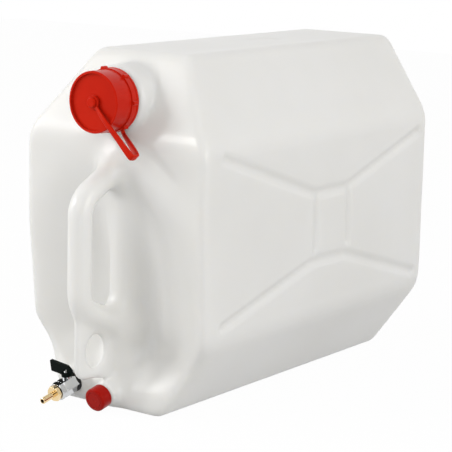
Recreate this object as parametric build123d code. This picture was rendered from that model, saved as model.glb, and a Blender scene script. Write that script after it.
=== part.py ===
from build123d import *
import math
import os

# Water canister: a blow-moulded tank with a looped front handle, a screw filler
# cap on a strap, a small screwed drain cap and a quarter-turn outlet valve.
# Frame: +X to the right, the front faces -Y, +Z up. The origin is on the
# resting face, on the middle plane, front_out behind the front face.
# All sizes in millimetres.

# ---- Tank ----
body_width = 250.0
body_height = 394.0
body_depth = 468.0
front_out = 232.0
wall = 2.5
low_chamfer_width = 56.0
low_chamfer_height = 84.0
top_chamfer_width = 61.0
top_chamfer_height = 92.0
front_slope_depth = 49.0
back_foot_slope = 18.0
edge_round = 11.0

# Finger recess behind the handle: a barrel-shaped scoop about a vertical axis
# that stands in front of the tank.
scoop_axis_out = 127.0
scoop_depth = 45.0
scoop_deep_height = 86.0
scoop_upper_radius = 382.0
scoop_lower_radius = 59.0
scoop_reach_out = 12.0

# Pillar left standing in the middle of the recess, under the handle.
pillar_width = 30.0
pillar_depth = 70.0

# Round shoulder that stands out of the sloped front and carries the neck.
neck_below_top = 50.0
neck_height = body_height - neck_below_top
shoulder_radius = 38.0
shoulder_front = 2.0
shoulder_back = 68.0
shoulder_edge_cut = 2.6

# Side grooves
groove_width = 10.0
groove_depth = 4.0
groove_end_gap = 7.0
groove_front_below_top = 105.5
groove_back_below_top = 114.5
groove_middle_below_top = 164.0
groove_upper_front = body_height - groove_front_below_top
groove_upper_back = body_height - groove_back_below_top
groove_upper_middle = body_height - groove_middle_below_top
groove_lower_middle = 150.0
groove_lower_front = 104.0
groove_lower_back = 102.0
groove_front = -194.0
groove_bar_front = -18.0
groove_bar_back = 51.0
groove_back = 213.0

# ---- Handle ----
handle_radius = 13.0
handle_out = 53.0
handle_below_neck = 104.5
handle_top = neck_height - handle_below_neck
handle_bottom = 122.6
handle_bend = 28.0
handle_bend_steps = 3
handle_root_depth = 22.0
handle_top_slope = 27.6
handle_bottom_slope = 23.7
handle_root_radius = 21.0
handle_root_flare = 36.0
web_thickness = 7.0
web_bottom = 43.0
web_corner = 11.0
web_hole_width = 31.0
web_hole_height = 36.0
web_hole_up = 71.0
web_hole_out = 27.0

# ---- Filler neck, cap and strap ----
neck_radius = 30.5
neck_wall = 3.0
neck_length = 28.5
strap_ring_thickness = 3.6
strap_ring_width = 4.2
ring_slack = 0.4
cap_play = 0.3
cap_wall = 2.7
cap_top = 2.4
cap_dish_depth = 3.0
cap_edge_cut = 0.8
cap_band_width = 7.0
cap_band_step = 1.3
cap_lug_count = 7
cap_lug_radius = 2.4
seal_thickness = 1.8
knob_stem_radius = 3.2
knob_head_radius = 5.6
knob_height = 7.0
knob_head_height = 2.6
knob_edge_cut = 1.2
strap_eye_radius = 7.6
strap_radius = 1.9
strap_side = 50.5
strap_drop = 52.0
strap_bend_depth = 10.5
strap_bend_cut = 3.0
strap_root_side = 14.0
strap_tab_radius = 40.0

# ---- Drain outlet ----
fitting_tilt = 12.0
drain_height = 19.5
drain_boss_radius = 14.0
drain_boss_length = 12.0
spigot_radius = 9.5
spigot_wall = 2.5
spigot_length = 11.5
drain_cap_radius = 13.3
drain_cap_top = 2.2
drain_cap_edge_cut = 1.0
drain_seal_thickness = 1.4
drain_cap_gap = 0.6

# ---- Outlet valve ----
valve_side = -49.5
valve_height = 22.3
valve_pad_radius = 13.5
valve_pad_out = 3.0
valve_pad_depth = 16.0
shank_radius = 8.3
shank_length = 12.0
gasket_radius = 11.4
gasket_thickness = 1.6
valve_across_flats = 18.5
valve_body_length = 20.9
port_radius = 3.2
ball_radius = 6.0
ball_from_gasket = 8.4
chamber_radius = 7.3
seat_length = 3.2
end_cap_length = 7.5
tail_thread_radius = 4.9
tail_thread_length = 5.4
tail_seal_thickness = 0.8
tail_hex_across_flats = 16.0
tail_hex_length = 5.0
tail_radius = 3.6
tail_bore = 2.3
tail_length = 18.4
tail_tip_lead = 0.6

# ---- Valve stem and lever ----
stem_radius = 2.4
stem_head_radius = 3.3
stem_head_height = 1.2
stem_washer_thickness = 0.6
stem_tang_width = 2.4
stem_tang_depth = 1.9
stem_boss_radius = 5.4
stem_boss_top = 11.4
stem_drive_flats = 3.4
stem_drive_height = 3.2
ring_section = 0.8
lever_reach = 21.0
lever_top = 16.3
lever_end_height = 13.5
lever_thickness = 3.4
lever_hub_radius = 6.0
lever_hub_height = 4.2
lever_tail = 8.5
lever_window_height = 4.0
screw_radius = 1.4
screw_head_radius = 2.8
screw_head_height = 1.6
screw_length = 5.0

# ---- Fits ----
running_clearance = 0.05
seat_clearance = 0.02
lever_clearance = 0.3

half_width = body_width / 2
front_face = -front_out
back_face = body_depth - front_out


def polygon(points):
    """A flat face through the points, where they stand."""
    return Polygon(*points, align=None)


def rod(start, end, radius):
    """A round bar from one point to another."""
    run = Vector(*end) - Vector(*start)
    place = Plane(origin=start, z_dir=run)
    return place * Cylinder(radius, run.length, align=(Align.CENTER, Align.CENTER, Align.MIN))


def disc(radius, start, length):
    """A round bar along the local axis, from start."""
    bar = Cylinder(radius, length, align=(Align.CENTER, Align.CENTER, Align.MIN))
    return Pos(0, 0, start) * bar


def tube(outer, inner, start, length):
    """A round sleeve along the local axis, from start."""
    return disc(outer, start, length) - disc(inner, start - 1, length + 2)


def hexagon_bar(across_flats, start, length, corner_cut):
    """A hexagonal bar with its corners turned off at both ends."""
    bar = extrude(RegularPolygon(across_flats / 2, 6, major_radius=False), amount=length)
    corner = across_flats / math.sqrt(3)
    blank = chamfer(Cylinder(corner, length, align=(Align.CENTER, Align.CENTER, Align.MIN)).edges()
                    .filter_by(GeomType.CIRCLE), corner_cut)
    return Pos(0, 0, start) * (bar & blank)


# ---------------------------------------------------------------- tank forms

def front_outline():
    foot = half_width - low_chamfer_width
    crown = half_width - top_chamfer_width
    upper = body_height - top_chamfer_height
    return [(-foot, 0), (foot, 0), (half_width, low_chamfer_height), (half_width, upper),
            (crown, body_height), (-crown, body_height), (-half_width, upper),
            (-half_width, low_chamfer_height)]


def side_outline():
    upper = body_height - top_chamfer_height
    return [(front_face, 0), (back_face - back_foot_slope, 0), (back_face, low_chamfer_height),
            (back_face, body_height), (front_face + front_slope_depth, body_height),
            (front_face, upper)]


def rim_edges(block):
    """The edges where the front and back faces meet the long sides."""
    ends = [face for face in block.faces() if abs(face.normal_at().Y) > 0.8]
    edges = [edge for face in ends for edge in face.edges()]
    return [edge for edge in edges if sum(edge.is_same(other) for other in edges) == 1]


def envelope(inset):
    """The eight-sided box with its sloped front. Inside, only the rims of its ends are rounded."""
    front = polygon(front_outline())
    side = polygon(side_outline())
    if inset > 0:
        front = offset(front, -inset, kind=Kind.INTERSECTION)
        side = offset(side, -inset, kind=Kind.INTERSECTION)
    long_bar = extrude(Plane.XZ * front, amount=body_depth, both=True)
    wide_bar = extrude(Plane.YZ * side, amount=body_width, both=True)
    block = long_bar & wide_bar
    edges = rim_edges(block) if inset > 0 else block.edges()
    return fillet(edges, edge_round - inset)


def scoop(grow):
    """Barrel-shaped cutter: arcs above and below its deepest level."""
    deep = scoop_axis_out + scoop_depth
    near = scoop_axis_out - scoop_reach_out
    drop = deep - near

    def rise(radius, back):
        return math.sqrt(radius ** 2 - (radius - back) ** 2)

    top = (near, scoop_deep_height + rise(scoop_upper_radius, drop))
    top_mid = (deep - drop / 4, scoop_deep_height + rise(scoop_upper_radius, drop / 4))
    belly = (deep, scoop_deep_height)
    low_mid = (deep - drop / 4, scoop_deep_height - rise(scoop_lower_radius, drop / 4))
    low = (near, scoop_deep_height - rise(scoop_lower_radius, drop))
    inner = near - scoop_reach_out
    edges = [ThreePointArc(top, top_mid, belly), ThreePointArc(belly, low_mid, low),
             Line(low, (inner, low[1])), Line((inner, low[1]), (inner, top[1])),
             Line((inner, top[1]), top)]
    section = make_face(edges)
    if grow > 0:
        section = offset(section, grow)
    barrel = revolve(Plane.XZ * section, Axis.Z)
    return Pos(0, front_face - scoop_axis_out, 0) * barrel


def pillar(inset):
    """Upright rib with a round front that carries the handle."""
    radius = pillar_width / 2 - inset
    front = front_face + inset + radius
    section = Pos(0, front) * Circle(radius)
    section += Pos(0, front + pillar_depth / 2) * Rectangle(2 * radius, pillar_depth)
    return extrude(section, amount=neck_height)


def handle_route():
    """Root, upper corner, lower corner and root of the handle's middle line."""
    out = front_face - handle_out
    inside = front_face + handle_root_depth
    run = inside - out
    top_root = (0, inside, handle_top + run * math.tan(math.radians(handle_top_slope)))
    low_root = (0, inside, handle_bottom - run * math.tan(math.radians(handle_bottom_slope)))
    return [top_root, (0, out, handle_top), (0, out, handle_bottom), low_root]


def mitred_bend(before, corner, after):
    """Points round a corner at the handle's bend radius, for straight mitred lengths."""
    corner = Vector(*corner)
    back = (Vector(*before) - corner).normalized()
    ahead = (Vector(*after) - corner).normalized()
    half = math.radians(back.get_angle(ahead)) / 2
    middle = corner + (back + ahead).normalized() * (handle_bend / math.sin(half))
    sweep_angle = math.pi - 2 * half
    start = (corner + back * (handle_bend / math.tan(half)) - middle).normalized()
    end = (corner + ahead * (handle_bend / math.tan(half)) - middle).normalized()
    points = []
    for step in range(handle_bend_steps + 1):
        share = step / handle_bend_steps
        lead = math.sin((1 - share) * sweep_angle) / math.sin(sweep_angle)
        trail = math.sin(share * sweep_angle) / math.sin(sweep_angle)
        points.append(middle + (start * lead + end * trail) * handle_bend)
    return points


def handle(inset):
    """Round grip with two mitred bends, flared where it meets the tank."""
    points = handle_route()
    line = [points[0], *mitred_bend(*points[:3]), *mitred_bend(*points[1:]), points[3]]
    path = Polyline(*line)
    radius = handle_radius - inset
    start = Plane(origin=path @ 0, z_dir=path % 0)
    grip = sweep(start * Circle(radius), path, transition=Transition.RIGHT)
    for root, corner in ((points[0], points[1]), (points[3], points[2])):
        line = (Vector(*corner) - Vector(*root)).normalized()
        flare = Cone(handle_root_radius - inset, radius, handle_root_flare,
                     align=(Align.CENTER, Align.CENTER, Align.MIN))
        grip += Plane(origin=Vector(*root), z_dir=line) * flare
    return grip


def web():
    """Thin pinched plate below the handle, with its oval hole."""
    out = front_face - handle_out - handle_radius / 2
    root = front_face + wall + 4
    slope = math.tan(math.radians(handle_bottom_slope))
    rise = (root - front_face + handle_out) * slope
    points = [(root, handle_bottom - rise), (out, handle_bottom), (out, web_bottom),
              (root, web_bottom - 8)]
    plate = polygon(points)
    plate = fillet(plate.vertices().sort_by(Axis.Y)[:2].sort_by(Axis.X)[:1], web_corner)
    hole = Ellipse(web_hole_width / 2, web_hole_height / 2)
    plate -= Pos(front_face - web_hole_out, web_hole_up) * hole
    return extrude(Plane.YZ * plate, amount=web_thickness / 2, both=True)


def grooves(grow):
    """Half-round stiffening grooves on both sides, as one cutter."""
    half = groove_width / 2
    radius = (half ** 2 + groove_depth ** 2) / (2 * groove_depth)
    out = half_width + radius - groove_depth
    upper = [(groove_front, groove_upper_front), (groove_bar_front, groove_upper_middle),
             (groove_bar_back, groove_upper_middle), (groove_back, groove_upper_back)]
    lower = [(groove_front, groove_lower_front), (groove_bar_front, groove_lower_middle),
             (groove_bar_back, groove_lower_middle), (groove_back, groove_lower_back)]
    bar_end = groove_lower_middle + groove_width + groove_end_gap / 2
    bars = [[(y, groove_upper_middle), (y, bar_end)] for y in (groove_bar_front, groove_bar_back)]
    cutter = Part()
    for side in (-1, 1):
        for line in [upper, lower] + bars:
            path = Polyline(*[(side * out, *point) for point in line])
            section = Plane(origin=path @ 0, z_dir=path % 0) * Circle(radius + grow)
            cutter += sweep(section, path, transition=Transition.RIGHT)
    return cutter


def neck_plane(out):
    """Plane across the neck, out millimetres in front of the tank's front."""
    return Plane(origin=(0, front_face - out, neck_height), x_dir=(1, 0, 0), z_dir=(0, -1, 0))


def fitting_plane(side, height, out):
    """Plane across a low outlet that points forward and a little down."""
    tilt = math.radians(fitting_tilt)
    forward = Vector(0, -math.cos(tilt), -math.sin(tilt))
    origin = Vector(side, front_face, height) + forward * out
    return Plane(origin=origin, x_dir=(1, 0, 0), z_dir=forward)


def shoulder(inset):
    """Broad round boss that carries the filler neck."""
    boss = disc(shoulder_radius - inset, 0, shoulder_back - shoulder_front - inset)
    boss = chamfer(boss.edges().group_by(Axis.Z)[-1], shoulder_edge_cut)
    return neck_plane(-shoulder_back) * boss


def tank_form(inset):
    """The tank's skin, moved inwards by inset all round."""
    form = envelope(inset) - (scoop(inset) - pillar(inset)) - grooves(inset)
    form += shoulder(inset)
    form += handle(inset)
    return form


def make_tank_body():
    tank = tank_form(0) + web()
    tank += fitting_plane(0, drain_height, 0) * disc(drain_boss_radius, -8, drain_boss_length + 8)
    tank -= tank_form(wall)
    shoulder_face = -shoulder_front
    tank += neck_plane(shoulder_face) * disc(neck_radius, -wall, wall + neck_length)
    tank -= neck_plane(shoulder_face) * disc(neck_radius - neck_wall, -2 * wall, neck_length + 3 * wall)
    drain = fitting_plane(0, drain_height, 0)
    tank += drain * disc(spigot_radius, -8, 8 + drain_boss_length + spigot_length)
    tank -= drain * disc(spigot_radius - spigot_wall, -20, 60)
    pad = fitting_plane(valve_side, valve_height, valve_pad_out)
    tank += pad * disc(valve_pad_radius, -valve_pad_depth, valve_pad_depth)
    tank -= pad * disc(shank_radius + seat_clearance, -valve_pad_depth - 5, valve_pad_depth + 10)
    return tank


# ---------------------------------------------------------------- filler cap

cap_back = strap_ring_thickness + 2 * ring_slack
cap_inner_face = neck_length + seal_thickness
cap_disc_face = cap_inner_face + cap_top
cap_front = cap_disc_face + cap_dish_depth
cap_outer_radius = neck_radius + cap_play + cap_wall


def make_filler_cap():
    band_radius = cap_outer_radius + cap_band_step
    cap = disc(cap_outer_radius, cap_back, cap_front - cap_back)
    cap = chamfer(cap.edges().group_by(Axis.Z)[-1], cap_edge_cut)
    cap += disc(band_radius, cap_back, cap_band_width)
    for number in range(cap_lug_count):
        turn = 360 / cap_lug_count * number
        cap += Rot(0, 0, turn) * Pos(band_radius, 0, 0) * disc(cap_lug_radius, cap_back, cap_band_width)
    cap -= disc(neck_radius + cap_play, cap_back - 1, cap_inner_face - cap_back + 1)
    cap -= disc(cap_outer_radius - cap_wall, cap_disc_face, cap_dish_depth + 1)
    cap += disc(knob_stem_radius, cap_disc_face - 0.5, knob_height + 0.5)
    head = disc(knob_head_radius, cap_disc_face + knob_height - knob_head_height, knob_head_height)
    cap += chamfer(head.edges().group_by(Axis.Z)[-1], knob_edge_cut)
    return neck_plane(-shoulder_front) * cap


def make_filler_cap_seal():
    seal = tube(neck_radius, neck_radius - neck_wall, neck_length, seal_thickness)
    return neck_plane(-shoulder_front) * seal


def make_cap_strap():
    """Ring on the neck, a bent round strap, and an eye on the cap's knob."""
    ring_inner = neck_radius + ring_slack
    ring = tube(ring_inner + strap_ring_width, ring_inner, ring_slack, strap_ring_thickness)
    eye_room = knob_height - knob_head_height - 2 * ring_slack
    eye_start = cap_disc_face + ring_slack
    strap = ring + tube(strap_eye_radius, knob_stem_radius + ring_slack, eye_start, eye_room)
    over_rim = cap_front + strap_radius + ring_slack
    reach = math.hypot(strap_side, strap_drop)
    away = (strap_side / reach, -strap_drop / reach)
    eye_edge = strap_eye_radius - strap_radius / 2
    rim = cap_outer_radius - 4 * strap_radius
    root = ring_inner + strap_ring_width - strap_radius / 2
    root_drop = math.sqrt(root ** 2 - strap_root_side ** 2)
    root_level = ring_slack + strap_ring_thickness / 2
    tab = strap_tab_radius / root
    bend_side = (strap_side + away[0] * strap_bend_cut, -strap_drop + away[1] * strap_bend_cut)
    points = [(away[0] * eye_edge, away[1] * eye_edge, eye_start + strap_radius),
              (away[0] * rim, away[1] * rim, over_rim),
              (strap_side, -strap_drop, over_rim),
              (*bend_side, over_rim - strap_bend_cut),
              (*bend_side, over_rim - strap_bend_depth + strap_bend_cut),
              (strap_side, -strap_drop, over_rim - strap_bend_depth),
              (strap_root_side * tab, -root_drop * tab, root_level),
              (strap_root_side, -root_drop, root_level)]
    path = Polyline(*points)
    section = Plane(origin=path @ 0, z_dir=path % 0) * Circle(strap_radius)
    strap += sweep(section, path, transition=Transition.RIGHT)
    return neck_plane(-shoulder_front) * strap


# ---------------------------------------------------------------- drain cap

drain_tip = drain_boss_length + spigot_length
drain_cap_back = drain_boss_length + drain_cap_gap
drain_cap_inner = drain_tip + drain_seal_thickness


def make_drain_cap():
    front = drain_cap_inner + drain_cap_top
    cap = disc(drain_cap_radius, drain_cap_back, front - drain_cap_back)
    cap = chamfer(cap.edges().filter_by(GeomType.CIRCLE), drain_cap_edge_cut)
    cap -= disc(spigot_radius + cap_play, drain_cap_back - 1, drain_cap_inner - drain_cap_back + 1)
    return fitting_plane(0, drain_height, 0) * cap


def make_drain_cap_seal():
    seal = disc(spigot_radius, drain_tip, drain_seal_thickness - running_clearance)
    return fitting_plane(0, drain_height, 0) * seal


# ---------------------------------------------------------------- outlet valve
# The valve is built along its own axis: zero is the gasket's back face, the
# water runs towards +Z, and the stem points to +Y.

body_start = gasket_thickness
body_end = body_start + valve_body_length
ball_middle = gasket_thickness + ball_from_gasket
end_cap_end = body_end + end_cap_length
tail_hex_start = end_cap_end + tail_seal_thickness


def valve_place():
    return fitting_plane(valve_side, valve_height, valve_pad_out)


def stem_axis_place():
    """Plane whose normal is the stem's axis, through the ball's middle."""
    flow = valve_place()
    return Plane(origin=flow.from_local_coords((0, 0, ball_middle)), x_dir=(1, 0, 0), z_dir=flow.y_dir)


def make_valve_gasket():
    return valve_place() * tube(gasket_radius, shank_radius + seat_clearance, 0, gasket_thickness)


def seat_reach():
    """Distance from the ball's middle to a seat's outer face."""
    contact = math.sqrt(ball_radius ** 2 - port_radius ** 2)
    return contact + seat_length / 2


def make_valve_body():
    flow = valve_place()
    reach = seat_reach()
    body = hexagon_bar(valve_across_flats, body_start, valve_body_length, 1.4)
    body += disc(shank_radius, -shank_length, shank_length + gasket_thickness + 1)
    body -= disc(port_radius, -shank_length - 1, shank_length + body_end)
    body -= disc(chamber_radius, ball_middle - reach, body_end)
    body = flow * body
    stem = stem_axis_place()
    body += stem * (disc(stem_boss_radius, 0, stem_boss_top) - disc(chamber_radius, -1, chamber_radius))
    body -= flow * disc(chamber_radius, ball_middle - reach, 2 * reach)
    body -= stem * disc(stem_radius + running_clearance, 0, stem_boss_top + 1)
    head_top = stem_head_bottom() + stem_head_height + stem_washer_thickness
    body -= stem * disc(stem_head_radius + running_clearance, 0, head_top)
    groove = tube(stem_radius + 2 * ring_section, stem_radius - 1, ring_level() - ring_section,
                  2 * ring_section)
    body -= stem * groove
    return body


def stem_head_bottom():
    return ball_radius + 0.2


def ring_level():
    return stem_boss_top - 2.0


def make_valve_end_cap():
    reach = seat_reach()
    nose_start = ball_middle + reach
    cap = hexagon_bar(valve_across_flats, body_end, end_cap_length, 1.4)
    cap += disc(chamber_radius - seat_clearance, nose_start, body_end - nose_start + 1)
    cap -= disc(port_radius, nose_start - 1, end_cap_end)
    cap -= disc(tail_thread_radius + seat_clearance, end_cap_end - tail_thread_length - 1,
                tail_thread_length + 2)
    return valve_place() * cap


def make_ball_seat(side):
    """Ring with a hollow face that fits the ball."""
    reach = seat_reach()
    start = -reach if side < 0 else reach - seat_length
    seat = tube(chamber_radius - seat_clearance, port_radius, start, seat_length)
    seat -= Sphere(ball_radius + running_clearance)
    return valve_place() * Pos(0, 0, ball_middle) * seat


def make_valve_ball():
    """Bored ball with a slot for the stem, turned across the flow."""
    ball = Sphere(ball_radius)
    ball -= Rot(0, 90, 0) * Cylinder(port_radius, 3 * ball_radius)
    slot_depth = stem_tang_depth + 0.1
    slot = Box(stem_tang_width + 2 * seat_clearance, 4 * ball_radius, 2 * slot_depth)
    ball -= Pos(0, 0, ball_radius) * slot
    return stem_axis_place() * ball


def make_valve_stem():
    head = stem_head_bottom()
    top = stem_boss_top + stem_drive_height
    stem = disc(stem_radius, head, stem_boss_top - head)
    stem += disc(stem_head_radius, head, stem_head_height)
    drive = Box(stem_drive_flats, stem_drive_flats, stem_drive_height + 0.5,
                align=(Align.CENTER, Align.CENTER, Align.MIN))
    stem += Pos(0, 0, stem_boss_top - 0.5) * drive
    tang = Box(stem_tang_width, 2 * stem_head_radius - 1.4, stem_tang_depth + 0.3,
               align=(Align.CENTER, Align.CENTER, Align.MIN))
    stem += Pos(0, 0, ball_radius - stem_tang_depth) * tang
    stem -= disc(screw_radius, top - screw_length, screw_length + 1)
    stem -= tube(stem_radius + 1, stem_radius - ring_section, ring_level() - ring_section,
                 2 * ring_section)
    return stem_axis_place() * stem


def make_stem_washer():
    start = stem_head_bottom() + stem_head_height
    washer = tube(stem_head_radius, stem_radius + running_clearance, start, stem_washer_thickness)
    return stem_axis_place() * washer


def make_stem_ring():
    thick = ring_section - seat_clearance
    ring = tube(stem_radius + thick, stem_radius - thick, ring_level() - thick, 2 * thick)
    return stem_axis_place() * ring


def make_valve_lever():
    """Upright paddle on a round hub, with a window between them."""
    base = stem_boss_top + lever_clearance
    hub = disc(lever_hub_radius, base, lever_hub_height)
    top = base + lever_top
    points = [(lever_tail, base + 1.0), (lever_tail, base + lever_top / 2), (lever_tail - 4.5, top - 3.5),
              (-lever_reach, top), (-lever_reach, top - lever_end_height),
              (-lever_hub_radius - 3, base + 1.5), (-lever_hub_radius + 0.6, base)]
    paddle = extrude(Plane.XZ * polygon(points), amount=lever_thickness / 2, both=True)
    paddle = fillet(paddle.edges().filter_by(Axis.Y), 1.0)
    lever = hub + paddle
    lever -= disc(screw_head_radius + 0.2, base + lever_hub_height, lever_window_height)
    lever -= disc(screw_radius + seat_clearance, base - 1, lever_hub_height + 2)
    socket_flats = stem_drive_flats + 2 * seat_clearance
    lever -= Pos(0, 0, base - 1) * Box(socket_flats, socket_flats, stem_drive_height + 1,
                                       align=(Align.CENTER, Align.CENTER, Align.MIN))
    return stem_axis_place() * lever


def make_lever_screw():
    top = stem_boss_top + lever_clearance + lever_hub_height
    head = chamfer(disc(screw_head_radius, top, screw_head_height).edges().group_by(Axis.Z)[-1], 0.5)
    stem_top = stem_boss_top + stem_drive_height
    shank = disc(screw_radius - seat_clearance, stem_top - screw_length + 0.3, top - stem_top + screw_length)
    screw = head + shank
    screw -= Pos(0, 0, top + screw_head_height) * Box(2 * screw_head_radius, 0.7, 1.2)
    return stem_axis_place() * screw


def make_hose_tail_seal():
    seal = tube(tail_thread_radius + 2.2, tail_thread_radius + seat_clearance, end_cap_end,
                tail_seal_thickness)
    return valve_place() * seal


def make_hose_tail():
    end = tail_hex_start + tail_hex_length + tail_length
    tail = hexagon_bar(tail_hex_across_flats, tail_hex_start, tail_hex_length, 1.2)
    tail += disc(tail_thread_radius, end_cap_end - tail_thread_length, tail_thread_length + 2)
    pipe = disc(tail_radius, tail_hex_start, tail_hex_length + tail_length)
    tail += chamfer(pipe.edges().group_by(Axis.Z)[-1], tail_tip_lead)
    tail -= disc(tail_bore, end_cap_end - tail_thread_length - 1, end - end_cap_end + 2 * tail_thread_length)
    return valve_place() * tail


def parts():
    return {
        "tank_body": make_tank_body(),
        "filler_cap": make_filler_cap(),
        "filler_cap_seal": make_filler_cap_seal(),
        "cap_strap": make_cap_strap(),
        "drain_cap": make_drain_cap(),
        "drain_cap_seal": make_drain_cap_seal(),
        "valve_gasket": make_valve_gasket(),
        "valve_body": make_valve_body(),
        "valve_end_cap": make_valve_end_cap(),
        "ball_seat_rear": make_ball_seat(-1),
        "ball_seat_front": make_ball_seat(1),
        "valve_ball": make_valve_ball(),
        "valve_stem": make_valve_stem(),
        "stem_washer": make_stem_washer(),
        "stem_ring": make_stem_ring(),
        "valve_lever": make_valve_lever(),
        "lever_screw": make_lever_screw(),
        "hose_tail": make_hose_tail(),
        "hose_tail_seal": make_hose_tail_seal(),
    }


os.makedirs("parts", exist_ok=True)
for name, solid in parts().items():
    export_step(solid, f"parts/{name}.step")
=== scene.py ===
import math

import bmesh
import bpy
import numpy as np
from mathutils import Matrix, Vector


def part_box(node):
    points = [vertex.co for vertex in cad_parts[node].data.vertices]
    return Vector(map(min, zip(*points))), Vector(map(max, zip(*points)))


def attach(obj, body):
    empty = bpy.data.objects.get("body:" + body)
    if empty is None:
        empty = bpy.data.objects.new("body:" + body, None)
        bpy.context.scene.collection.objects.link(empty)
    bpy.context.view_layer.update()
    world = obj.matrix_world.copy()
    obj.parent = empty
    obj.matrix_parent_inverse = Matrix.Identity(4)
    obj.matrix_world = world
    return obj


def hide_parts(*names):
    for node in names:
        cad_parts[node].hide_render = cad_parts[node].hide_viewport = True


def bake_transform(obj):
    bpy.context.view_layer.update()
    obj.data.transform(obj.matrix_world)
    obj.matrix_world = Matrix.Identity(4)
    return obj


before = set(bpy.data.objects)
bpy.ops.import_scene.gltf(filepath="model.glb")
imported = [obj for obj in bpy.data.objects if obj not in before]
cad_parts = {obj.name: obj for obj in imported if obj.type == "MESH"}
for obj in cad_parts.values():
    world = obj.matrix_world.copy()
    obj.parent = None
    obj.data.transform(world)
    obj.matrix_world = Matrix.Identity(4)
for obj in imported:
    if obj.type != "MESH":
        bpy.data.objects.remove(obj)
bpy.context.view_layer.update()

# Sizes are in millimetres, measured as in the solids; MM turns them into the scene's metres.
MM = 0.001

# ------------------------------------------------------------------ camera

CAMERA_PLACE = Vector((1.21002, -1.70458, 0.57038))
CAMERA_AHEAD = Vector((-0.57260451, 0.79826552, -0.18680531))
CAMERA_UP = Vector((-0.12831922, 0.13778388, 0.98211495))
LENS = 141.38
SENSOR = 36.0

# Direction of the unlit part of the studio, its general light, and the floor's own white.
DARK_SIDE = (0.25, -0.87, 0.42)
ROOM_LIGHT = 0.75
LOW_LIGHT = (1.0, 0.99, 0.975, 1)
CEILING_LIGHT = (0.58, 0.574, 0.566, 1)
MIRRORED_WHITE = (1, 1, 1, 1)
MIRRORED_DARK = (0.04, 0.04, 0.04, 1)
FLOOR_WHITE = 0.94
FLOOR_HALF = 4.0


def make_camera():
    data = bpy.data.cameras.new("camera")
    data.lens = LENS
    data.sensor_width = SENSOR
    data.clip_end = 20
    camera = bpy.data.objects.new("camera", data)
    bpy.context.collection.objects.link(camera)
    back = -CAMERA_AHEAD.normalized()
    right = CAMERA_UP.cross(back).normalized()
    up = back.cross(right)
    turn = Matrix((right, up, back)).transposed()
    camera.matrix_world = Matrix.Translation(CAMERA_PLACE) @ turn.to_4x4()
    bpy.context.scene.camera = camera


# ------------------------------------------------------------------ materials

# Roughness of the moulded plastics, from their glossier to their duller places.
SOFT_GLOSS = (0.285, 0.33)


def new_material(name):
    material = bpy.data.materials.new(name)
    material.use_nodes = True
    return material, material.node_tree, material.node_tree.nodes["Principled BSDF"]


def object_coords(tree, scale=(1, 1, 1)):
    coords = tree.nodes.new("ShaderNodeTexCoord")
    mapping = tree.nodes.new("ShaderNodeMapping")
    mapping.inputs["Scale"].default_value = scale
    tree.links.new(coords.outputs["Object"], mapping.inputs["Vector"])
    return mapping.outputs["Vector"]


def noise(tree, vector, scale, detail=3.0, roughness=0.5):
    node = tree.nodes.new("ShaderNodeTexNoise")
    node.inputs["Scale"].default_value = scale
    node.inputs["Detail"].default_value = detail
    node.inputs["Roughness"].default_value = roughness
    tree.links.new(vector, node.inputs["Vector"])
    return node.outputs["Fac"]


def spread(tree, value, low, high):
    node = tree.nodes.new("ShaderNodeMapRange")
    node.inputs["From Min"].default_value = 0.3
    node.inputs["From Max"].default_value = 0.7
    node.inputs["To Min"].default_value = low
    node.inputs["To Max"].default_value = high
    tree.links.new(value, node.inputs["Value"])
    return node.outputs["Result"]


def tint(tree, value, dark, light):
    node = tree.nodes.new("ShaderNodeValToRGB")
    node.color_ramp.elements[0].position = 0.3
    node.color_ramp.elements[1].position = 0.7
    node.color_ramp.elements[0].color = (*dark, 1)
    node.color_ramp.elements[1].color = (*light, 1)
    tree.links.new(value, node.inputs["Fac"])
    return node.outputs["Color"]


def bump(tree, height, strength, distance):
    node = tree.nodes.new("ShaderNodeBump")
    node.inputs["Strength"].default_value = strength
    node.inputs["Distance"].default_value = distance
    tree.links.new(height, node.inputs["Height"])
    return node.outputs["Normal"]


def finish_material(name, dark, light, rough, metallic=0.0, grain=900, blotch=25, relief=0.06,
                    relief_depth=0.0002, specular=0.5, gleam=(1, 1, 1), cast=None):
    """A plain finish with slow colour change, uneven gloss and a fine surface grain.

    cast is the softer colour that it throws on the pale tank beside it."""
    material, tree, shader = new_material(name)
    vector = object_coords(tree)
    slow = noise(tree, vector, blotch)
    fine = noise(tree, vector, grain, detail=2.0)
    colour = tint(tree, slow, dark, light)
    if cast:
        onto_others = tree.nodes.new("ShaderNodeMix")
        onto_others.data_type = "RGBA"
        tree.links.new(ray_kind(tree, "Is Diffuse Ray"), onto_others.inputs["Factor"])
        tree.links.new(colour, onto_others.inputs["A"])
        onto_others.inputs["B"].default_value = (*cast, 1)
        colour = onto_others.outputs["Result"]
    tree.links.new(colour, shader.inputs["Base Color"])
    tree.links.new(spread(tree, slow, rough[0], rough[1]), shader.inputs["Roughness"])
    tree.links.new(bump(tree, fine, relief, relief_depth), shader.inputs["Normal"])
    shader.inputs["Metallic"].default_value = metallic
    shader.inputs["Specular IOR Level"].default_value = specular
    shader.inputs["Specular Tint"].default_value = (*gleam, 1)
    return material


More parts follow.
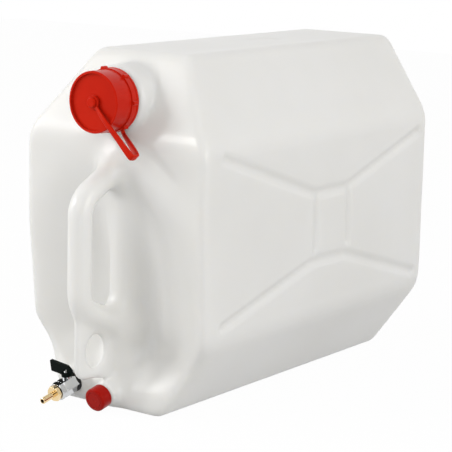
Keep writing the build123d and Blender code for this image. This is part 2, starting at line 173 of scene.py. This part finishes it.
def tank_material():
    """Milky polyethylene: soft gloss, light that spreads below the skin, faint flow marks."""
    material, tree, shader = new_material("milky_polyethylene")
    vector = object_coords(tree)
    slow = noise(tree, vector, 7, detail=2.0)
    flow = noise(tree, object_coords(tree, (40, 6, 14)), 1.0, detail=2.0)
    fine = noise(tree, vector, 1400, detail=2.0)
    tree.links.new(tint(tree, slow, (0.83, 0.825, 0.80), (0.86, 0.857, 0.838)), shader.inputs["Base Color"])
    tree.links.new(spread(tree, flow, *SOFT_GLOSS), shader.inputs["Roughness"])
    tree.links.new(bump(tree, fine, 0.04, 0.0001), shader.inputs["Normal"])
    shader.inputs["Subsurface Weight"].default_value = 0.4
    shader.inputs["Subsurface Radius"].default_value = (1.0, 0.95, 0.85)
    shader.inputs["Subsurface Scale"].default_value = 0.02
    shader.inputs["IOR"].default_value = 1.5
    return material


def make_materials():
    return {
        "tank": tank_material(),
        "red": finish_material("orange_red_plastic", (0.57, 0.010, 0.003), (0.63, 0.014, 0.004),
                               SOFT_GLOSS, specular=0.25, gleam=(1.0, 0.38, 0.16),
                               cast=(0.42, 0.26, 0.24)),
        "deep_red": finish_material("deep_red_plastic", (0.34, 0.005, 0.003), (0.39, 0.007, 0.004),
                                    SOFT_GLOSS, specular=0.25, gleam=(1.0, 0.30, 0.22),
                                    cast=(0.3, 0.2, 0.19)),
        "black": finish_material("black_nylon", (0.0025, 0.004, 0.0035), (0.0045, 0.007, 0.006),
                                 (0.42, 0.55), relief=0.2, specular=0.06, gleam=(0.7, 0.9, 0.85)),
        "rubber": finish_material("black_rubber", (0.010, 0.010, 0.010), (0.022, 0.022, 0.022), (0.6, 0.75)),
        "chrome": finish_material("plated_brass", (0.52, 0.53, 0.54), (0.62, 0.63, 0.64),
                                  (0.05, 0.09), metallic=1.0, relief=0.03),
        "brass": finish_material("bare_brass", (0.80, 0.60, 0.33), (0.90, 0.72, 0.44),
                                 (0.11, 0.18), metallic=1.0, relief=0.04),
        "white": finish_material("seat_plastic", (0.80, 0.80, 0.78), (0.86, 0.86, 0.84), (0.4, 0.5)),
        "steel": finish_material("zinc_steel", (0.5, 0.5, 0.5), (0.6, 0.6, 0.6), (0.25, 0.35), metallic=1.0),
    }


# ------------------------------------------------------------------ meshes

def add_mesh(name, points, faces, material):
    """A new, smoothly shaded mesh object at the origin; points are in millimetres."""
    mesh = bpy.data.meshes.new(name)
    mesh.from_pydata([tuple(p) for p in np.asarray(points) * MM], [], faces)
    mesh.update()
    mesh.materials.append(material)
    mesh.shade_smooth()
    piece = bpy.data.objects.new(name, mesh)
    bpy.context.collection.objects.link(piece)
    return piece


# ------------------------------------------------------------------ tank
# The tank's skin is a distance field: each form gives the distance to its surface,
# negative inside, and forms are joined with soft seams as a blown wall has them.

HALF_WIDTH = 125.0
HEIGHT = 394.0
FRONT = -232.0
BACK = 236.0
LOW_CHAMFER = (56.0, 84.0)
TOP_CHAMFER = (61.0, 92.0)
FRONT_SLOPE = 49.0
BACK_FOOT = 18.0
EDGE_BLEND = 8.0
# Each front corner's scoop is a hollow turned about an upright axis behind the front face.
SCOOP_AXIS = 127.0
SCOOP_DEPTH = 45.0
SCOOP_LEVEL = 86.0
SCOOP_UPPER = 382.0
SCOOP_LOWER = 59.0
SCOOP_RIM = 28.0
PILLAR_RADIUS = 15.0
PILLAR_BLEND = 30.0
NECK_LEVEL = 344.0
NECK_RADIUS = 30.5
NECK_BORE = 27.5
SHOULDER_RADIUS = 38.0
SHOULDER_FRONT = 2.0
SHOULDER_BACK = 68.0
SHOULDER_EDGE = 10.0
SHOULDER_BLEND = 5.0
THROAT_END = 66.0
THROAT_GAP = 1.2
HANDLE_RADIUS = 13.0
HANDLE_OUT = 53.0
HANDLE_ROOT = 22.0
HANDLE_ENDS = (239.5, 122.6)
HANDLE_SLOPES = (27.6, 23.7)
HANDLE_BEND = 28.0
HANDLE_BEND_STEPS = 8
HANDLE_BLEND = 24.0
WEB_HALF = 3.5
WEB_ROOT = 6.0
WEB_BOTTOM = 43.0
WEB_BOTTOM_DROP = 8.0
# The finger hole's middle, along the tank and up, and half its length and height.
WEB_HOLE = (FRONT - 27.0, 71.0, 15.5, 18.0)
WEB_EDGE = 4.0
WEB_FOOT_BLEND = 14.0
WEB_HOLE_EDGE = 3.0
WEB_SIDE_EDGE = 5.0
WEB_BLEND = 8.0
GROOVE_RADIUS = 5.1
GROOVE_OUT = HALF_WIDTH + 1.1
GROOVE_UPPER = [(-194, 288.5), (-18, 230), (51, 230), (213, 279.5)]
GROOVE_LOWER = [(-194, 104), (-18, 150), (51, 150), (213, 102)]
GROOVE_BARS = [[(-13, 229), (-13, 163.5)], [(56, 229), (56, 163.5)]]
GROOVE_BLEND = 4.0
FITTING_TILT = math.radians(12)
DRAIN_LEVEL = 19.5
# Radius and length of a boss or pad along its outlet's axis, and how softly each joins the wall.
DRAIN_BOSS = (14.0, 12.0)
DRAIN_BLEND = 10.0
VALVE_SIDE = -49.5
VALVE_LEVEL = 22.3
VALVE_PAD = (13.5, 3.0)
VALVE_BLEND = 6.0
OUTLET_ROOT = 20.0
OUTLET_ROOT_EDGE = 3.0
DRAIN_EDGE = 3.0
VALVE_EDGE = 1.5
# The plain dimple on top: half its width, its middle along the tank, half its length, its depth.
TOP_MARK = (13.5, 52.5, 18.5, 1.0)
NECK_OUT = 26.5
NECK_BURIED = -68.0
# A thread's depth, pitch, start below the lip and number of turns.
NECK_THREAD = (1.1, 6.0, 6.0, 2.1)
SPIGOT = (9.5, 7.0, DRAIN_BOSS[1] - 1.0, DRAIN_BOSS[1] + 11.5)
SPIGOT_THREAD = (0.8, 2.6, 2.2, 2.6)
LIP_ROUNDING = 0.6
ROUND_STEPS = 96
THREAD_STEPS = 48
# The drain cap's half section as (radius, place along its axis), from its inside to its face.
DRAIN_CAP_SECTION = [(0, 24.9), (9.8, 24.9), (9.8, 12.6), (12.9, 12.6), (13.3, 13.0), (13.3, 25.0),
                     (13.1, 26.0), (12.5, 26.7), (11.6, 27.1), (9.5, 27.1), (9.2, 26.7), (8.6, 26.7),
                     (8.3, 27.1), (2.0, 27.1), (1.7, 26.8), (0, 26.8)]
# Inner and outer radius, both ends along the neck's axis, and the rounding of the strap's rings.
STRAP_COLLAR = (30.9, 35.1, 0.4, 4.0, 0.7)
STRAP_EYE = (3.6, 7.6, 33.1, 36.7, 0.6)
# The strap's band as (width, middle) from the knob round the fold to the collar.
STRAP_BAND = [(4.4, (4.6, -265.2, 339.2)), (5.2, (19.5, -268, 325)), (6.6, (36.5, -268, 309)),
              (8.0, (53, -268, 293)), (8.2, (55.4, -265.3, 290.6)), (8.2, (55.4, -260.2, 290.6)),
              (7.8, (52.4, -257.4, 293.3)), (6.0, (34.5, -244.9, 301)), (4.6, (16.6, -232.2, 307.2)),
              (4.2, (14, -232.2, 312.0))]
STRAP_EDGE = Vector((-0.717, 0, -0.697))
STRAP_HALF_THICK = 1.6
BAND_STEPS = 16
# Size of the grid's cells over the tank, and how far the grid reaches past it.
CELL = 3.0
MARGIN = 6.0


def soft_max(a, b, blend):
    near = np.maximum(blend - np.abs(a - b), 0) / blend
    return np.maximum(a, b) + near * near * blend / 4


def soft_min(a, b, blend):
    return -soft_max(-a, -b, blend)


def beyond(across, up, point, other):
    """Distance beyond the line through two points, on its left side when going from point to other."""
    run = np.hypot(other[0] - point[0], other[1] - point[1])
    normal = ((other[1] - point[1]) / run, -(other[0] - point[0]) / run)
    return (across - point[0]) * normal[0] + (up - point[1]) * normal[1]


def segment_distance(across, up, start, end):
    run = (end[0] - start[0], end[1] - start[1])
    share = ((across - start[0]) * run[0] + (up - start[1]) * run[1]) / (run[0] ** 2 + run[1] ** 2)
    share = np.clip(share, 0, 1)
    return np.hypot(across - start[0] - share * run[0], up - start[1] - share * run[1])


def shell_form(x, y, z):
    wide = np.abs(x)
    foot = HALF_WIDTH - LOW_CHAMFER[0]
    crown = HALF_WIDTH - TOP_CHAMFER[0]
    form = wide - HALF_WIDTH
    form = soft_max(form, beyond(wide, z, (foot, 0), (HALF_WIDTH, LOW_CHAMFER[1])), EDGE_BLEND)
    form = soft_max(form, beyond(wide, z, (HALF_WIDTH, HEIGHT - TOP_CHAMFER[1]), (crown, HEIGHT)), EDGE_BLEND)
    form = soft_max(form, -z, EDGE_BLEND)
    form = soft_max(form, z - HEIGHT, EDGE_BLEND)
    slope = beyond(-y, z, (-FRONT, HEIGHT - TOP_CHAMFER[1]), (-FRONT - FRONT_SLOPE, HEIGHT))
    foot_slope = beyond(y, z, (BACK - BACK_FOOT, 0), (BACK, LOW_CHAMFER[1]))
    front = soft_max(FRONT - y, slope, EDGE_BLEND)
    back = soft_max(y - BACK, foot_slope, EDGE_BLEND)
    return soft_max(form, soft_max(front, back, EDGE_BLEND), EDGE_BLEND * 1.15)


def pillar_form(x, y):
    front = FRONT + PILLAR_RADIUS
    return np.hypot(x, np.minimum(y - front, 0)) - PILLAR_RADIUS


def scoop_form(x, y, z):
    reach = np.hypot(x, y - FRONT + SCOOP_AXIS)
    deep = SCOOP_AXIS + SCOOP_DEPTH
    upper = np.hypot(reach - deep + SCOOP_UPPER, z - SCOOP_LEVEL) - SCOOP_UPPER
    lower = np.hypot(reach - deep + SCOOP_LOWER, z - SCOOP_LEVEL) - SCOOP_LOWER
    return np.where(z > SCOOP_LEVEL, upper, lower)


def shoulder_form(x, y, z):
    reach = np.hypot(x, z - NECK_LEVEL)
    barrel = soft_max(reach - SHOULDER_RADIUS, FRONT + SHOULDER_FRONT - y, SHOULDER_EDGE)
    return np.maximum(barrel, y - FRONT - SHOULDER_BACK)


def handle_line():
    """Middle line of the grip in the plane of the parting seam, as short straight steps."""
    out = FRONT - HANDLE_OUT
    inside = FRONT + HANDLE_ROOT
    run = inside - out
    top = HANDLE_ENDS[0] + run * math.tan(math.radians(HANDLE_SLOPES[0]))
    low = HANDLE_ENDS[1] - run * math.tan(math.radians(HANDLE_SLOPES[1]))
    corners = [Vector((inside, top)), Vector((out, HANDLE_ENDS[0])), Vector((out, HANDLE_ENDS[1])),
               Vector((inside, low))]
    line = [corners[0]]
    for before, corner, after in zip(corners, corners[1:], corners[2:]):
        back = (before - corner).normalized()
        ahead = (after - corner).normalized()
        half = back.angle(ahead) / 2
        reach = HANDLE_BEND / math.tan(half)
        middle = corner + (back + ahead).normalized() * (HANDLE_BEND / math.sin(half))
        first = corner + back * reach - middle
        last = corner + ahead * reach - middle
        for step in range(HANDLE_BEND_STEPS + 1):
            line.append(middle + first.slerp(last, step / HANDLE_BEND_STEPS) * HANDLE_BEND)
    line.append(corners[-1])
    return line


def handle_form(x, y, z):
    line = handle_line()
    flat_y, flat_z = y[0], z[0]
    flat = np.full(np.broadcast_shapes(flat_y.shape, flat_z.shape), 1e6)
    for start, end in zip(line, line[1:]):
        flat = np.minimum(flat, segment_distance(flat_y, flat_z, start, end))
    return np.hypot(x, flat[None]) - HANDLE_RADIUS


def web_form(x, y, z):
    out = FRONT - HANDLE_OUT - HANDLE_RADIUS / 2
    root = FRONT + WEB_ROOT
    plate = soft_max(out - y, y - root, WEB_EDGE)
    foot = beyond(-y, z, (-root, WEB_BOTTOM - WEB_BOTTOM_DROP), (-out, WEB_BOTTOM))
    plate = soft_max(plate, foot, WEB_FOOT_BLEND)
    slope = math.tan(math.radians(HANDLE_SLOPES[1]))
    plate = soft_max(plate, z - HANDLE_ENDS[1] - (out - y) * slope, WEB_EDGE)
    hole_y, hole_z, half_y, half_z = WEB_HOLE
    hole = (np.hypot((y - hole_y) / half_y, (z - hole_z) / half_z) - 1) * half_y
    return soft_max(soft_max(plate, -hole, WEB_HOLE_EDGE), np.abs(x) - WEB_HALF, WEB_SIDE_EDGE)


def groove_form(x, y, z):
    flat_y, flat_z = y[0], z[0]
    flat = np.full(np.broadcast_shapes(flat_y.shape, flat_z.shape), 1e6)
    for line in [GROOVE_UPPER, GROOVE_LOWER] + GROOVE_BARS:
        for start, end in zip(line, line[1:]):
            flat = np.minimum(flat, segment_distance(flat_y, flat_z, start, end))
    return np.hypot(flat[None], np.abs(x) - GROOVE_OUT) - GROOVE_RADIUS


def fitting_coords(x, y, z, side, level):
    """Distance from a low outlet's tilted axis, and the place along it, outwards."""
    ahead = (-math.cos(FITTING_TILT), -math.sin(FITTING_TILT))
    along = (y - FRONT) * ahead[0] + (z - level) * ahead[1]
    rise = (y - FRONT) * ahead[1] - (z - level) * ahead[0]
    return np.hypot(x - side, rise), along


def outlet_form(x, y, z, side, level, size, edge):
    """A round boss or pad along a low outlet's tilted axis."""
    reach, along = fitting_coords(x, y, z, side, level)
    radius, length = size
    return soft_max(soft_max(reach - radius, along - length, edge), -along - OUTLET_ROOT,
                    OUTLET_ROOT_EDGE)


def tank_field(x, y, z):
    form = shell_form(x, y, z)
    hollow = soft_max(scoop_form(x, y, z), -pillar_form(x, y), PILLAR_BLEND)
    form = soft_max(form, -hollow, SCOOP_RIM)
    form = soft_max(form, -groove_form(x, y, z), GROOVE_BLEND)
    form = soft_min(form, shoulder_form(x, y, z), SHOULDER_BLEND)
    form = soft_min(form, handle_form(x, y, z), HANDLE_BLEND)
    form = soft_min(form, web_form(x, y, z), WEB_BLEND)
    drain = outlet_form(x, y, z, 0, DRAIN_LEVEL, DRAIN_BOSS, DRAIN_EDGE)
    form = soft_min(form, drain, DRAIN_BLEND)
    valve = outlet_form(x, y, z, VALVE_SIDE, VALVE_LEVEL, VALVE_PAD, VALVE_EDGE)
    form = soft_min(form, valve, VALVE_BLEND)
    half_wide, middle, half_long, depth = TOP_MARK
    across = np.maximum(np.abs(x) - half_wide, np.abs(y - middle) - half_long)
    mark = np.maximum(across, HEIGHT - depth - z)
    form = soft_max(form, -mark, 1.0)
    throat = np.maximum(np.hypot(x, z - NECK_LEVEL) - NECK_BORE - THROAT_GAP, y - FRONT - THROAT_END)
    return np.maximum(form, -throat)


def surface_net(field, axes):
    """Quads over the zero level of a field on a grid: one point in each cell that it crosses."""
    inside = field < 0
    crossed = np.zeros(tuple(n - 1 for n in field.shape), bool)
    corners = [(i, j, k) for i in (0, 1) for j in (0, 1) for k in (0, 1)]
    parts = [inside[i:i + crossed.shape[0], j:j + crossed.shape[1], k:k + crossed.shape[2]]
             for i, j, k in corners]
    total = sum(part.astype(np.int8) for part in parts)
    crossed = (total > 0) & (total < 8)
    cells = np.argwhere(crossed)
    number = np.full(crossed.shape, -1, np.int64)
    number[crossed] = np.arange(len(cells))
    places = np.zeros((len(cells), 3))
    count = np.zeros(len(cells))
    for a in range(8):
        for b in range(a + 1, 8):
            first, last = np.array(corners[a]), np.array(corners[b])
            if np.abs(first - last).sum() != 1:
                continue
            start, end = cells + first, cells + last
            low, high = field[tuple(start.T)], field[tuple(end.T)]
            change = (low < 0) != (high < 0)
            share = np.where(change, low / np.where(change, low - high, 1), 0)
            begin = np.stack([axes[d][start[:, d]] for d in range(3)], 1)
            stop = np.stack([axes[d][end[:, d]] for d in range(3)], 1)
            places += np.where(change[:, None], begin + share[:, None] * (stop - begin), 0)
            count += change
    places /= count[:, None]
    quads = []
    for axis in range(3):
        one, two = (axis + 1) % 3, (axis + 2) % 3
        lead = [slice(None)] * 3
        lead[axis] = slice(0, -1)
        trail = [slice(None)] * 3
        trail[axis] = slice(1, None)
        change = inside[tuple(lead)] != inside[tuple(trail)]
        edges = np.argwhere(change)
        keep = np.all([edges[:, d] > 0 for d in (one, two)], axis=0)
        keep &= np.all([edges[:, d] < field.shape[d] - 1 for d in (one, two)], axis=0)
        edges = edges[keep]
        ring = []
        for back_one, back_two in ((1, 1), (0, 1), (0, 0), (1, 0)):
            cell = edges.copy()
            cell[:, one] -= back_one
            cell[:, two] -= back_two
            ring.append(number[tuple(cell.T)])
        quad = np.stack(ring, 1)
        solid_first = inside[tuple(edges.T)]
        quad[~solid_first] = quad[~solid_first][:, ::-1]
        quads.append(quad)
    return places, np.concatenate(quads)


def make_tank_skin(material):
    low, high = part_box("tank_body")
    axes = []
    for d in range(3):
        start, stop = low[d] / MM - MARGIN, high[d] / MM + MARGIN
        axes.append(np.linspace(start, stop, int((stop - start) / CELL) + 1))
    x = axes[0][:, None, None]
    y = axes[1][None, :, None]
    z = axes[2][None, None, :]
    points, quads = surface_net(tank_field(x, y, z), axes)
    points = np.clip(points, np.array(low) / MM, np.array(high) / MM)
    skin = add_mesh("tank_skin", points, quads.tolist(), material)
    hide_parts("tank_body")
    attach(skin, "tank")


def on_axis(origin, tilt, radius, turn, along):
    """Points round an outward axis that starts at origin and dips by tilt."""
    ahead = np.array([0, -math.cos(tilt), -math.sin(tilt)])
    rise = np.array([0, -math.sin(tilt), math.cos(tilt)])
    side = np.array([1.0, 0, 0])
    round_it = np.cos(turn)[..., None] * side + np.sin(turn)[..., None] * rise
    return np.array(origin) + np.asarray(radius)[..., None] * round_it + np.asarray(along)[..., None] * ahead


def turned_points(origin, tilt, ring, steps):
    """The points of a (radius, place along the axis) section turned round an outward axis."""
    turn = np.linspace(0, 2 * math.pi, steps, endpoint=False)
    return np.concatenate([on_axis(origin, tilt, np.full(steps, r), turn, np.full(steps, a))
                           for r, a in ring])


def lattice_faces(rows, columns, closed_rows):
    """Quads between neighbouring rings of a grid of points; the columns always close."""
    faces = []
    for i in range(rows if closed_rows else rows - 1):
        for j in range(columns):
            faces.append((i * columns + j, i * columns + (j + 1) % columns,
                          (i + 1) % rows * columns + (j + 1) % columns, (i + 1) % rows * columns + j))
    return faces


def make_threaded_tube(name, origin, tilt, outer, inner, start, end, thread, material):
    """A tube with rounded lips and a raised helix whose crest lies on the outer radius."""
    depth, pitch, below, turns = thread
    core = outer - depth
    lip = LIP_ROUNDING
    ring = [(core, start), (core, end - lip), (core - lip, end),
            (inner + lip, end), (inner, end - lip), (inner, start)]
    points = turned_points(origin, tilt, ring, ROUND_STEPS)
    faces = lattice_faces(len(ring), ROUND_STEPS, True)
    count = int(THREAD_STEPS * turns)
    share = np.linspace(0, 1, count)
    grown = np.minimum(1, np.minimum(share, 1 - share) * 16)
    angle = share * turns * 2 * math.pi
    middle = end - below - share * turns * pitch
    half = pitch * 0.22
    section = [(-0.4, -1.5), (-0.4, 1.5), (1.0, 0.45), (1.0, -0.45)]
    columns = []
    for r, a in section:
        radius = core + np.where(r > 0, depth * grown, r)
        columns.append(on_axis(origin, tilt, radius, angle, middle + a * half * grown))
    helix = np.stack(columns, 1).reshape(-1, 3)
    first = len(points)
    for face in lattice_faces(count, 4, False):
        faces.append(tuple(first + k for k in face))
    faces.append(tuple(first + k for k in (3, 2, 1, 0)))
    faces.append(tuple(first + (count - 1) * 4 + k for k in (0, 1, 2, 3)))
    piece = add_mesh(name, np.concatenate([points, helix]), faces, material)
    close_up(piece)
    return piece


def close_up(piece):
    """Every shell of a mesh closed and facing outwards, with sharp edges kept sharp."""
    work = bmesh.new()
    work.from_mesh(piece.data)
    bmesh.ops.remove_doubles(work, verts=work.verts, dist=1e-6)
    loose = [edge for edge in work.edges if not edge.link_faces]
    bmesh.ops.delete(work, geom=loose, context="EDGES")
    bmesh.ops.recalc_face_normals(work, faces=work.faces)
    work.to_mesh(piece.data)
    work.free()
    piece.data.set_sharp_from_angle(angle=math.radians(40))


def make_necks(material):
    """The filler neck and the drain spigot, moulded with the tank."""
    neck = make_threaded_tube("tank_neck", (0, FRONT, NECK_LEVEL), 0, NECK_RADIUS, NECK_BORE,
                              NECK_BURIED, NECK_OUT, NECK_THREAD, material)
    spigot = make_threaded_tube("drain_spigot", (0, FRONT, DRAIN_LEVEL), FITTING_TILT, *SPIGOT,
                                SPIGOT_THREAD, material)
    for piece in (neck, spigot):
        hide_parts("tank_body")
        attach(piece, "tank")


def round_path(knots, steps):
    """A smooth curve through the knots, with its direction at each point."""
    knots = [Vector(k) for k in knots]
    ends = [knots[0] * 2 - knots[1]] + knots + [knots[-1] * 2 - knots[-2]]
    points = []
    for i in range(1, len(ends) - 2):
        a, b, c, d = ends[i - 1:i + 3]
        for step in range(steps):
            t = step / steps
            points.append(0.5 * ((2 * b) + (c - a) * t + (2 * a - 5 * b + 4 * c - d) * t * t
                                 + (3 * b - a - 3 * c + d) * t * t * t))
    points.append(ends[-2])
    last = len(points) - 1
    ahead = [(points[min(i + 1, last)] - points[max(i - 1, 0)]).normalized() for i in range(last + 1)]
    return points, ahead


def make_turned(name, origin, tilt, ring, material, steps=ROUND_STEPS):
    """A solid turned from a closed section."""
    points = turned_points(origin, tilt, ring, steps)
    piece = add_mesh(name, points, lattice_faces(len(ring), steps, True), material)
    close_up(piece)
    return piece


def rounded_ring(inner, outer, low, high, cut):
    return [(outer - cut, low), (outer, low + cut), (outer, high - cut), (outer - cut, high),
            (inner + cut, high), (inner, high - cut), (inner, low + cut), (inner + cut, low)]


def make_drain_cap(material):
    """The small cap: a rounded rim, a shallow ring in its face and a moulding mark in the middle."""
    cap = make_turned("drain_cap_shell", (0, FRONT, DRAIN_LEVEL), FITTING_TILT, DRAIN_CAP_SECTION, material)
    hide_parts("drain_cap")
    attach(cap, "drain_cap")


def make_strap(material):
    """The cap's strap: a collar round the neck, a folded band and an eye on the knob."""
    wide = [w for w, _ in STRAP_BAND]
    steps = 10
    points, ahead = round_path([k for _, k in STRAP_BAND], steps)
    widths = np.interp(np.arange(len(points)) / steps, np.arange(len(wide)), wide)
    turn = np.linspace(0, 2 * math.pi, BAND_STEPS, endpoint=False)
    ring = []
    for point, way, width in zip(points, ahead, widths):
        edge = STRAP_EDGE - way * STRAP_EDGE.dot(way)
        edge.normalize()
        flat = way.cross(edge)
        for angle in turn:
            across = math.copysign(abs(math.cos(angle)) ** 0.6, math.cos(angle)) * width / 2
            up = math.copysign(abs(math.sin(angle)) ** 0.6, math.sin(angle)) * STRAP_HALF_THICK
            ring.append(tuple(point + edge * across + flat * up))
    faces = lattice_faces(len(points), BAND_STEPS, False)
    faces.append(tuple(range(BAND_STEPS - 1, -1, -1)))
    faces.append(tuple((len(points) - 1) * BAND_STEPS + k for k in range(BAND_STEPS)))
    band = add_mesh("strap_band", ring, faces, material)
    close_up(band)
    base = (0, FRONT + SHOULDER_FRONT, NECK_LEVEL)
    collar = make_turned("strap_collar", base, 0, rounded_ring(*STRAP_COLLAR), material)
    eye = make_turned("strap_eye", base, 0, rounded_ring(*STRAP_EYE), material, steps=48)
    for piece in (band, collar, eye):
        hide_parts("cap_strap")
    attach(collar, "tank")
    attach(eye, "filler_seal")
    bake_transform(band)


# ------------------------------------------------------------------ surroundings

def ray_kind(tree, *kinds):
    """1 for a ray of any of these kinds, otherwise 0."""
    path = tree.nodes.new("ShaderNodeLightPath")
    total = path.outputs[kinds[0]]
    for kind in kinds[1:]:
        either = tree.nodes.new("ShaderNodeMath")
        either.operation = "MAXIMUM"
        tree.links.new(total, either.inputs[0])
        tree.links.new(path.outputs[kind], either.inputs[1])
        total = either.outputs[0]
    return total


def make_world():
    """White behind the object, even light on it, and for reflections a dark patch behind the camera."""
    world = bpy.data.worlds.new("studio")
    bpy.context.scene.world = world
    world.use_nodes = True
    tree = world.node_tree
    room = tree.nodes["Background"]
    room.inputs["Strength"].default_value = ROOM_LIGHT
    coords = tree.nodes.new("ShaderNodeTexCoord")
    apart = tree.nodes.new("ShaderNodeSeparateXYZ")
    tree.links.new(coords.outputs["Generated"], apart.inputs[0])
    ceiling = tree.nodes.new("ShaderNodeValToRGB")
    ceiling.color_ramp.elements[0].position = 0.1
    ceiling.color_ramp.elements[0].color = LOW_LIGHT
    ceiling.color_ramp.elements[1].position = 0.9
    ceiling.color_ramp.elements[1].color = CEILING_LIGHT
    tree.links.new(apart.outputs["Z"], ceiling.inputs["Fac"])
    tree.links.new(ceiling.outputs["Color"], room.inputs["Color"])
    facing = tree.nodes.new("ShaderNodeVectorMath")
    facing.operation = "DOT_PRODUCT"
    facing.inputs[1].default_value = DARK_SIDE
    tree.links.new(coords.outputs["Generated"], facing.inputs[0])
    shade = tree.nodes.new("ShaderNodeValToRGB")
    shade.color_ramp.elements[0].position = 0.70
    shade.color_ramp.elements[0].color = MIRRORED_WHITE
    shade.color_ramp.elements[1].position = 0.82
    shade.color_ramp.elements[1].color = MIRRORED_DARK
    tree.links.new(facing.outputs["Value"], shade.inputs["Fac"])
    mirrored = tree.nodes.new("ShaderNodeBackground")
    tree.links.new(shade.outputs["Color"], mirrored.inputs["Color"])
    backdrop = tree.nodes.new("ShaderNodeBackground")
    backdrop.inputs["Color"].default_value = (1, 1, 1, 1)
    reflected = tree.nodes.new("ShaderNodeMixShader")
    tree.links.new(ray_kind(tree, "Is Glossy Ray"), reflected.inputs["Fac"])
    tree.links.new(room.outputs["Background"], reflected.inputs[1])
    tree.links.new(mirrored.outputs["Background"], reflected.inputs[2])
    seen = tree.nodes.new("ShaderNodeMixShader")
    tree.links.new(ray_kind(tree, "Is Camera Ray", "Is Transmission Ray"), seen.inputs["Fac"])
    tree.links.new(reflected.outputs["Shader"], seen.inputs[1])
    tree.links.new(backdrop.outputs["Background"], seen.inputs[2])
    tree.links.new(seen.outputs["Shader"], tree.nodes["World Output"].inputs["Surface"])


def make_floor():
    """A pale floor that looks white, and keeps a soft shadow under the object."""
    half = FLOOR_HALF
    material, tree, shader = new_material("floor")
    vector = object_coords(tree)
    tree.links.new(tint(tree, noise(tree, vector, 2), (0.48, 0.48, 0.48), (0.51, 0.51, 0.51)),
                   shader.inputs["Base Color"])
    shader.inputs["Roughness"].default_value = 0.9
    glow = tree.nodes.new("ShaderNodeEmission")
    glow.inputs["Strength"].default_value = 1.03
    seen = tree.nodes.new("ShaderNodeMath")
    seen.operation = "MULTIPLY"
    seen.inputs[1].default_value = FLOOR_WHITE
    tree.links.new(ray_kind(tree, "Is Camera Ray", "Is Glossy Ray", "Is Transmission Ray"), seen.inputs[0])
    mix = tree.nodes.new("ShaderNodeMixShader")
    tree.links.new(seen.outputs[0], mix.inputs["Fac"])
    tree.links.new(shader.outputs["BSDF"], mix.inputs[1])
    tree.links.new(glow.outputs["Emission"], mix.inputs[2])
    tree.links.new(mix.outputs["Shader"], tree.nodes["Material Output"].inputs["Surface"])
    mesh = bpy.data.meshes.new("floor")
    corners = [(-half, -half, 0), (half, -half, 0), (half, half, 0), (-half, half, 0)]
    mesh.from_pydata(corners, [], [(0, 1, 2, 3)])
    mesh.materials.append(material)
    floor = bpy.data.objects.new("floor", mesh)
    bpy.context.collection.objects.link(floor)


def add_lamp(name, place, aim, size, power, spread_light=1.0, gloss=0.0):
    data = bpy.data.lights.new(name, "AREA")
    data.shape = "RECTANGLE"
    data.size, data.size_y = size
    data.energy = power
    data.diffuse_factor = spread_light
    data.specular_factor = gloss
    lamp = bpy.data.objects.new(name, data)
    bpy.context.collection.objects.link(lamp)
    lamp.location = place
    lamp.rotation_euler = (Vector(aim) - Vector(place)).to_track_quat("-Z", "Y").to_euler()


def make_lights():
    middle = (0, 0, 0.2)
    add_lamp("key", (-1.85, -1.35, 1.25), middle, (1.0, 1.0), 16)
    add_lamp("sparkle", (-1.35, -2.0, 1.4), middle, (0.3, 0.3), 8.5, spread_light=0.0, gloss=1.0)
    add_lamp("side", (2.2, -0.1, 0.95), middle, (1.4, 1.0), 16)
    add_lamp("fill", (0.5, -2.3, 1.2), middle, (1.2, 1.2), 7)


# ------------------------------------------------------------------ the whole

def dress(node, material):
    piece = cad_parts[node]
    piece.data.materials.clear()
    piece.data.materials.append(material)


make_camera()
make_world()
make_floor()
make_lights()
finishes = make_materials()
make_tank_skin(finishes["tank"])
make_necks(finishes["tank"])
make_strap(finishes["red"])
make_drain_cap(finishes["deep_red"])
LOOKS = {
    "filler_cap": "red", "valve_gasket": "rubber",
    "filler_cap_seal": "rubber", "drain_cap_seal": "rubber", "valve_body": "chrome",
    "valve_end_cap": "chrome", "ball_seat_rear": "white", "ball_seat_front": "white",
    "valve_ball": "chrome", "valve_stem": "brass", "stem_washer": "white", "stem_ring": "rubber",
    "valve_lever": "black", "lever_screw": "steel", "hose_tail": "brass", "hose_tail_seal": "rubber",
}
for node, finish in LOOKS.items():
    dress(node, finishes[finish])

scene = bpy.context.scene
scene.view_settings.view_transform = "Standard"
